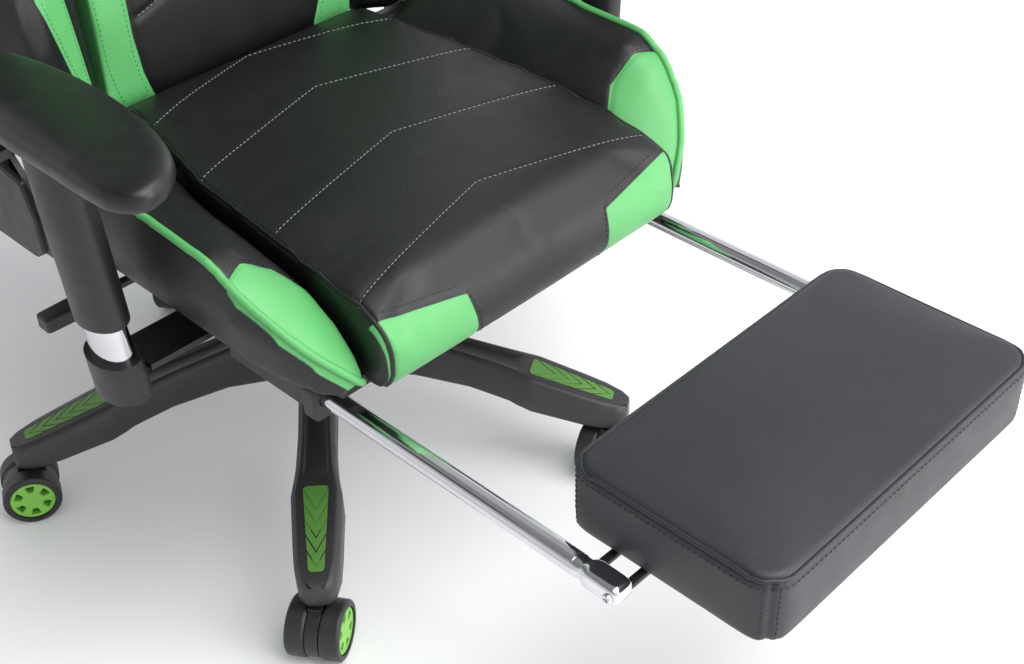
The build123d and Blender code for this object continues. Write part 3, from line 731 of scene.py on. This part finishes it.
def make_footrest():
    low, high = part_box("footrest_pad")
    piece = soft_copy("footrest_pad", "footrest_pad_cover", "pad_leather", 0.0045, 0.002, 3)
    top = rounded_loop(low, high, 0.003, 0.028, high.z - 0.005)
    bottom = rounded_loop(low, high, 0.002, 0.028, low.z + 0.002)

    def cap(places):
        return np.where(places[:, 2] > high.z - 0.006, 0.011, 0.005)

    swell(piece, [top, bottom], cap, hold=0.0045, held=lambda places: places[:, 2] < low.z + 0.006)
    corners, inset = [], 0.0095
    for x in (inset - high.x, high.x - inset):
        for y in (low.y + inset, high.y - inset):
            corners.append(np.array([(x, y, low.z + 0.001), (x, y, high.z - 0.006)]))
    skin = Skin(piece)
    laid_top = skin.lay(top)[0]
    laid_corners = [skin.lay(line)[0] for line in corners]
    groove(piece, [laid_top], 0.0022, 0.003)
    groove(piece, laid_corners, 0.0016, 0.0024)
    stand_in(piece, "footrest", "footrest_pad")

    skin = Skin(piece)
    path, ups = skin.lay(top)
    welt = tube_mesh(path[:-1] + ups[:-1] * 0.0004, 0.0019, 8, True)
    trim(new_piece("footrest_welt", *welt, "pad_leather"), "footrest")
    stitches = stitch_parts(*skin.lay(rounded_loop(low, high, 0.001, 0.03, high.z - 0.0115)))
    for line in corners:
        sign = 1 if line[0][0] * (line[0][1] - (low.y + high.y) / 2) > 0 else -1
        for shift in (-0.0042, 0.0042):
            stitches += stitch_parts(*skin.lay(line + (shift * sign, -shift, 0)))
    sew("footrest_thread", stitches, "thread_black", "footrest")


RAIL_X, RAIL_Z = 0.195, 0.315
SCREW_Y = -0.590
# Sections of a rail end, front last: y, half width, half height, squareness
CASTING_SECTIONS = (
    (-0.5505, 0.0096, 0.0078, 2.2), (-0.5550, 0.0096, 0.0078, 2.4), (-0.5575, 0.0088, 0.0070, 2.6),
    (-0.5610, 0.0088, 0.0070, 3.0), (-0.5640, 0.0104, 0.0079, 4.0), (-0.5680, 0.0107, 0.0081, 5.0),
    (-0.5880, 0.0107, 0.0081, 5.0), (-0.5930, 0.0103, 0.0078, 4.5), (-0.5955, 0.0092, 0.0068, 4.0),
    (-0.5968, 0.0070, 0.0048, 3.5),
)
# Radius and height of a socket-head screw, from the foot of its socket round to its middle
SCREW_PROFILE = (
    (0.0001, 0.0015), (0.0020, 0.0015), (0.0021, 0.0030), (0.0036, 0.0030), (0.0041, 0.0024),
    (0.0041, -0.001), (0.0001, -0.001),
)


def make_end_blocks():
    """Plated die-cast ends of the rails: a tapered neck, a rounded block and a socket-head screw."""
    parts = []
    turns = np.linspace(0, 2 * math.pi, 40, endpoint=False)
    c, s = np.cos(turns), np.sin(turns)
    screw, screw_faces = turned(SCREW_PROFILE, 36)
    for side in (1, -1):
        rings = []
        for y, half_x, half_z, power in CASTING_SECTIONS:
            x = side * RAIL_X + half_x * np.sign(c) * np.abs(c) ** (2 / power)
            z = RAIL_Z + half_z * np.sign(s) * np.abs(s) ** (2 / power)
            rings.append(np.stack([x, np.full_like(x, y), z], axis=1))
        parts.append(loft_mesh(rings))
        outwards = side * (RAIL_X + 0.0104 + screw[:, 2])
        placed = np.stack([outwards, SCREW_Y + screw[:, 0], RAIL_Z + screw[:, 1]], axis=1)
        parts.append((placed, screw_faces))
    piece = new_piece("rail_end_castings", *joined(parts), "chrome")
    split_edges(piece, 40)
    stand_in(piece, "footrest_slide", "footrest_end_blocks")


# ---- Backrest -----------------------------------------------------------------------------------

# The backrest's own frame has its origin on the recline axis and leans back with it:
# x, then depth with the front negative, then height.
BACK_PIVOT = (0.118, 0.402)
BACK_LEAN = math.radians(9)
# Height and depth of the front of the centre cushion
CENTRE_PROFILE = (
    (0.006, -0.040), (0.030, -0.046), (0.110, -0.062), (0.170, -0.065), (0.280, -0.058),
    (0.420, -0.048), (0.560, -0.046), (0.634, -0.046),
)
CENTRE_HALF_WIDTH = 0.149
# Border of the green band of the centre cushion: half width, height
BAND_BORDER = ((0.100, 0.028), (0.107, 0.05), (0.112, 0.09), (0.112, 0.60), (0.104, 0.632))
BACK_CHEVRON_HEIGHTS = (0.14, 0.25, 0.36, 0.47, 0.58)
# Height, half width and depth of the front of the wing bolsters
WING_SECTIONS = (
    (0.012, 0.238, -0.062), (0.064, 0.244, -0.084), (0.066, 0.264, -0.085), (0.145, 0.268, -0.097),
    (0.300, 0.262, -0.084), (0.440, 0.270, -0.080), (0.540, 0.276, -0.072), (0.600, 0.240, -0.058),
    (0.632, 0.220, -0.050),
)
# Green band on the nose of a wing bolster: height, inner and outer half width
WING_BAND = (
    (0.03, 0.166, 0.170), (0.08, 0.170, 0.190), (0.16, 0.178, 0.212), (0.30, 0.184, 0.214),
    (0.60, 0.176, 0.200),
)
# Left half of the head cushion's outline: half width, height
HEAD_OUTLINE = (
    (0.176, 0.636), (0.164, 0.670), (0.154, 0.720), (0.148, 0.770), (0.142, 0.806), (0.122, 0.834),
    (0.092, 0.847), (0.060, 0.850),
)
# The left belt slot: x and height of its middle, width and height across
BELT_SLOT = (0.078, 0.690, 0.070, 0.036)
BELT_SLOT_TILT = math.radians(18)


def back_place(points):
    """Places in the chair's frame of points given in the backrest's own."""
    x, depth, height = np.asarray(points, float).T
    c, s = math.cos(BACK_LEAN), math.sin(BACK_LEAN)
    y, z = depth * c + height * s, height * c - depth * s
    return np.stack([x, BACK_PIVOT[0] + y, BACK_PIVOT[1] + z], axis=1)


def back_own(points):
    """The reverse of back_place."""
    y, z = points[:, 1] - BACK_PIVOT[0], points[:, 2] - BACK_PIVOT[1]
    c, s = math.cos(BACK_LEAN), math.sin(BACK_LEAN)
    return np.stack([points[:, 0], y * c - z * s, y * s + z * c], axis=1)


# Direction in which lines are put down on the front of the backrest
REARWARD = back_place([(0, 1, 0)])[0] - back_place([(0, 0, 0)])[0]


def front_line(points, depth=-0.07):
    """A line at one depth of the backrest, from (x, height) in its own frame."""
    return back_place([(x, depth, z) for x, z in points])


def section_at(heights, sections, column):
    """Interpolates one column of a table whose first column is the height."""
    table = np.array(sections)
    return np.interp(heights, table[:, 0], table[:, column])


def make_back_centre():
    piece = soft_copy("back_cushion", "back_centre_cover", "seat_leather", 0.006, 0.002, 4)
    heights = np.linspace(0.008, 0.632, 30)
    depths = section_at(heights, CENTRE_PROFILE, 1)
    edge = back_place([(CENTRE_HALF_WIDTH, depth, z) for depth, z in zip(depths, heights)])
    bottom = back_place([(x, -0.041, 0.007) for x in (-CENTRE_HALF_WIDTH, CENTRE_HALF_WIDTH)])

    def cap(places):
        return np.where(np.abs(places[:, 0]) > CENTRE_HALF_WIDTH - 0.003, 0.001, 0.009)

    swell(piece, both(edge) + [bottom], cap, hold=0.006, held=lambda p: back_own(p)[:, 1] > -0.008)
    skin = Skin(piece)
    band = front_line(rounded(BAND_BORDER, 2))
    bands = [skin.lay(line, REARWARD)[0] for line in both(band)]
    chevrons = [[(-0.104, z - 0.035), (0, z), (0.104, z - 0.035)] for z in BACK_CHEVRON_HEIGHTS]
    quilting = [skin.lay(front_line(line), REARWARD)[0] for line in chevrons]
    groove(piece, bands, 0.0018, 0.0035)
    groove(piece, quilting, 0.0015, 0.0038)
    own = back_own(coordinates(piece.data))
    inner = seam_at(own[:, 2], ((0.09, 0.0), *BAND_BORDER), 1, 0)
    set_tint(piece, np.minimum(np.abs(own[:, 0]) - inner, -0.012 - own[:, 1]))
    stand_in(piece, "backrest", "back_cushion")

    skin = Skin(piece)
    stitches = []
    for line in chevrons:
        stitches += stitch_parts(*skin.lay(front_line(line), REARWARD))
    sew("back_quilting_thread", stitches, "thread_grey", "backrest")
    stitches = []
    for shift in (0.0055, 0.0325):
        for line in both(band + (shift, 0, 0)):
            stitches += stitch_parts(*skin.lay(line, REARWARD))
    sew("back_band_thread", stitches, "thread_green", "backrest")


def make_back_bolsters():
    piece = soft_copy("back_bolsters", "back_bolster_covers", "seat_leather", 0.006, 0.0025, 5)
    heights = np.linspace(0.02, 0.622, 40)
    widths, depths = section_at(heights, WING_SECTIONS, 1), section_at(heights, WING_SECTIONS, 2)
    nose = back_place(np.stack([widths - 0.036, depths - 0.002, heights], axis=1))

    def cap(places):
        own = back_own(places)
        return np.where((np.abs(own[:, 0]) < 0.158) | (own[:, 1] > -0.004), 0.001, 0.009)

    swell(piece, both(nose), cap, hold=0.006, held=lambda p: back_own(p)[:, 1] > -0.006)
    foot, head = WING_BAND[0][0], WING_BAND[-1][0]
    marks = np.linspace(foot, head, 30)
    inner = front_line(zip(section_at(marks, WING_BAND, 1), marks), -0.10)
    outer = front_line(zip(section_at(marks, WING_BAND, 2), marks), -0.10)
    skin = Skin(piece)
    laid = [skin.lay(line, REARWARD)[0] for line in both(inner) + both(outer)]
    groove(piece, laid, 0.0015, 0.0035)
    # the green band is between its borders, in front of the sides and between its two ends
    x, depth, z = back_own(coordinates(piece.data)).T
    x = np.abs(x)
    tint = np.minimum(x - section_at(z, WING_BAND, 1), section_at(z, WING_BAND, 2) - x)
    tint = np.minimum(tint, section_at(z, WING_SECTIONS, 2) * 0.35 - depth)
    set_tint(piece, np.minimum(tint, np.minimum(z - foot, head - z)))
    stand_in(piece, "backrest", "back_bolsters")

    skin = Skin(piece)
    stitches = []
    for line in both(inner + (0.004, 0, 0)) + both(outer - (0.004, 0, 0)):
        stitches += stitch_parts(*skin.lay(line, REARWARD))
    sew("back_bolster_thread", stitches, "thread_green", "backrest")


def slot_outline(grow):
    """The left belt slot's outline, larger by grow, in the backrest's own x and height."""
    x, z, width, height = BELT_SLOT
    radius, reach = height / 2 + grow, (width - height) / 2
    c, s = math.cos(BELT_SLOT_TILT), math.sin(BELT_SLOT_TILT)
    points = []
    for end, start in ((1, -90), (-1, 90)):
        for step in range(13):
            angle = math.radians(start + 15 * step)
            px, pz = end * reach + radius * math.cos(angle), radius * math.sin(angle)
            points.append((x + px * c - pz * s, z + px * s + pz * c))
    return points + points[:1]


def make_rear_flap():
    """The padded strip that closes the gap between the seat and the foot of the backrest."""
    rings = []
    back_y, thickness = 0.100, 0.005
    for x in np.linspace(-0.236, 0.236, 60):
        # it starts behind the seat cushion in the middle, and behind the bolsters at the sides
        seat_y = float(np.interp(abs(x), [0.145, 0.158], [0.0775, 0.041]))
        dip = ((0, 0.4200), (0.3, 0.4085), (0.7, 0.402), (1, 0.4040))
        line = rounded([(x, seat_y + share * (back_y - seat_y), z) for share, z in dip], 2)
        rings.append(np.vstack([line, line[::-1] - (0, 0, thickness)]))
    flap = new_piece("seat_rear_flap", *loft_mesh(rings), "welt_black")
    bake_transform(flap)


def make_head():
    piece = soft_copy("back_head_cushion", "head_cushion_cover", "seat_leather", 0.005, 0.002, 4)
    slot = front_line(slot_outline(0.001), -0.052)
    edge = back_place([(x - 0.001, -0.053, z) for x, z in HEAD_OUTLINE] + [(0, -0.053, 0.849)])

    swell(piece, both(edge) + both(slot), 0.007, held=lambda p: back_own(p)[:, 1] > -0.012)
    own = back_own(coordinates(piece.data))
    x, z = np.abs(own[:, 0]), own[:, 2]
    half = seam_at(z, HEAD_OUTLINE, 1, 0)
    set_tint(piece, np.minimum(x - (half - 0.045), 0.78 - z))
    stand_in(piece, "backrest", "back_head_cushion")
    outline = front_line(slot_outline(0.002), -0.056)[:-1]
    rims = [tube_mesh(ring, 0.0055, 10, True) for ring in both(outline)]
    trim(new_piece("belt_slot_rims", *joined(rims), "black_plastic"), "backrest")


# Seams of the rear cover as (x, height), and the side that their stitches are on
REAR_SEAMS = (
    (((-0.21, 0.10), (-0.21, 0.58)), (1, 0)), (((0.21, 0.10), (0.21, 0.58)), (1, 0)),
    (((-0.24, 0.60), (0.24, 0.60)), (0, 1)),
)


def make_back_rear():
    piece = soft_copy("back_rear_cover", "back_rear_skin", "seat_leather", 0.006, 0.0005, 6)
    refine(piece)
    set_tint(piece, np.full(len(piece.data.vertices), -1.0))
    skin = Skin(piece)
    behind, beside = 0.049, 0.004
    laid = [skin.lay(front_line(line, behind), -REARWARD)[0] for line, _ in REAR_SEAMS]
    groove(piece, laid, 0.0018, 0.0035)
    stand_in(piece, "backrest", "back_rear_cover")
    skin = Skin(piece)
    stitches = []
    for line, shift in REAR_SEAMS:
        stitching = front_line(np.array(line) + np.array(shift) * beside, behind)
        stitches += stitch_parts(*skin.lay(stitching, -REARWARD))
    sew("back_rear_thread", stitches, "thread_black", "backrest")


# ---- Armrest pads -------------------------------------------------------------------------------

def make_arm_pad(side):
    node = f"armrest_pad_{side}"
    piece = soft_copy(node, f"armrest_pad_skin_{side}", "armpad_black", 0.004, -0.0006, 16)
    refine(piece)
    # from -1 to 1 across, along and up the pad
    low, high = np.array(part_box(node))
    places = coordinates(piece.data)
    across, along, up = ((places - (low + high) / 2) / (high - low) * 2).T
    # the top is crowned across, and both its ends turn down
    fall = 0.0035 * across ** 2 + 0.004 * np.clip(np.abs(along) - 0.55, 0, 1) / 0.45
    places[:, 2] -= np.clip(up, 0, 1) * fall
    move_vertices(piece.data, places)
    stand_in(piece, f"armrest_{side}", node)


# ---- Star base ----------------------------------------------------------------------------------

# Leg sections from the hub outwards: radius, half width, top and bottom height, depth of the channel
LEG_SECTIONS = (
    (0.022, 0.0190, 0.1680, 0.085, 0.0), (0.046, 0.0187, 0.1625, 0.092, 0.0),
    (0.050, 0.0186, 0.1618, 0.093, 0.004), (0.060, 0.0185, 0.1595, 0.096, 0.005),
    (0.110, 0.0185, 0.1495, 0.102, 0.005), (0.170, 0.0185, 0.1380, 0.096, 0.0045),
    (0.205, 0.0202, 0.1305, 0.088, 0.004), (0.214, 0.0210, 0.1285, 0.086, 0.003),
    (0.222, 0.0224, 0.1260, 0.083, 0.0), (0.238, 0.0250, 0.1215, 0.079, 0.0),
    (0.290, 0.0230, 0.1065, 0.069, 0.0), (0.312, 0.0215, 0.1000, 0.066, 0.0),
    (0.330, 0.0175, 0.0946, 0.066, 0.0), (0.3365, 0.0125, 0.0925, 0.067, 0.0),
    (0.338, 0.0100, 0.0915, 0.069, 0.0),
)
# Radius and height round the section of the hub
HUB_PROFILE = (
    (0.0256, 0.0845), (0.035, 0.084), (0.037, 0.0865), (0.0372, 0.12), (0.0372, 0.1655),
    (0.0362, 0.1685), (0.034, 0.1698), (0.0315, 0.1700), (0.0311, 0.1690), (0.0311, 0.1660),
    (0.0256, 0.1660),
)
FIRST_LEG_AZIMUTH = math.radians(-131.4)


def leg_ring(radius, half, top, bottom, depth):
    """One cross-section of a leg that points along +X, with a channel of that depth in its top."""
    channel = half * 0.52
    outline = [
        (half - 0.004, bottom), (half - 0.0015, bottom + 0.0012), (half, bottom + 0.004),
        (half, (top + bottom) / 2), (half, top - 0.0075), (half - 0.0008, top - 0.0050),
        (half - 0.0028, top - 0.0022), (half - 0.0045, top - 0.0006), (half - 0.0062, top),
        (channel + 0.0016, top), (channel + 0.0006, top - depth * 0.25),
        (channel, top - depth * 0.85), (channel - 0.0012, top - depth),
    ]
    outline += [(-y, z) for y, z in reversed(outline)]
    return np.array([(radius, y, z) for y, z in outline])


def turned(profile, sides=64):
    """(vertices, faces) of a closed ring turned about the Z axis from (radius, height) points."""
    turns = np.linspace(0, 2 * math.pi, sides, endpoint=False)
    rings = [np.array([(r * math.cos(a), r * math.sin(a), z) for r, z in profile]) for a in turns]
    return loft_mesh(rings, True)


def make_base():
    marks = np.concatenate([np.arange(0.022, 0.33, 0.004), np.array(LEG_SECTIONS)[:, 0]])
    marks = np.unique(np.round(marks, 5))
    sizes = [section_at(marks, LEG_SECTIONS, column) for column in range(1, 5)]
    leg_vertices, leg_faces = loft_mesh([leg_ring(*section) for section in zip(marks, *sizes)])
    parts = []
    for index in range(5):
        turn = Matrix.Rotation(FIRST_LEG_AZIMUTH + index * math.radians(72), 3, "Z")
        parts.append((leg_vertices @ np.array(turn).T, leg_faces))
    parts.append(turned(HUB_PROFILE))
    shell = new_piece("base_shell", *joined(parts), "base_nylon")
    split_edges(shell, 48)
    stand_in(shell, "base", "star_base")


# ---- Finishes on the CAD nodes ------------------------------------------------------------------

def finish_nodes():
    """Gives every CAD node the material of its slot."""
    slots = {row["node"]: row["material_slot"] for row in frame["record"]["subparts"]}
    special = {"seat_pan": "underside", "footrest_board": "underside"}
    for name, node in nodes.items():
        node.data.materials.clear()
        node.data.materials.append(MATERIALS[special.get(name, slots[name])])


place_camera()
light_room()
finish_nodes()
make_seat()
make_seat_bolsters()
make_footrest()
make_end_blocks()
make_back_centre()
make_back_bolsters()
make_rear_flap()
make_head()
make_back_rear()
make_arm_pad("left")
make_arm_pad("right")
make_base()

REACH = 30
corners = [(-REACH, -REACH, 0), (REACH, -REACH, 0), (REACH, REACH, 0), (-REACH, REACH, 0)]
floor = new_piece("floor", corners, [(0, 1, 2, 3)], "floor")
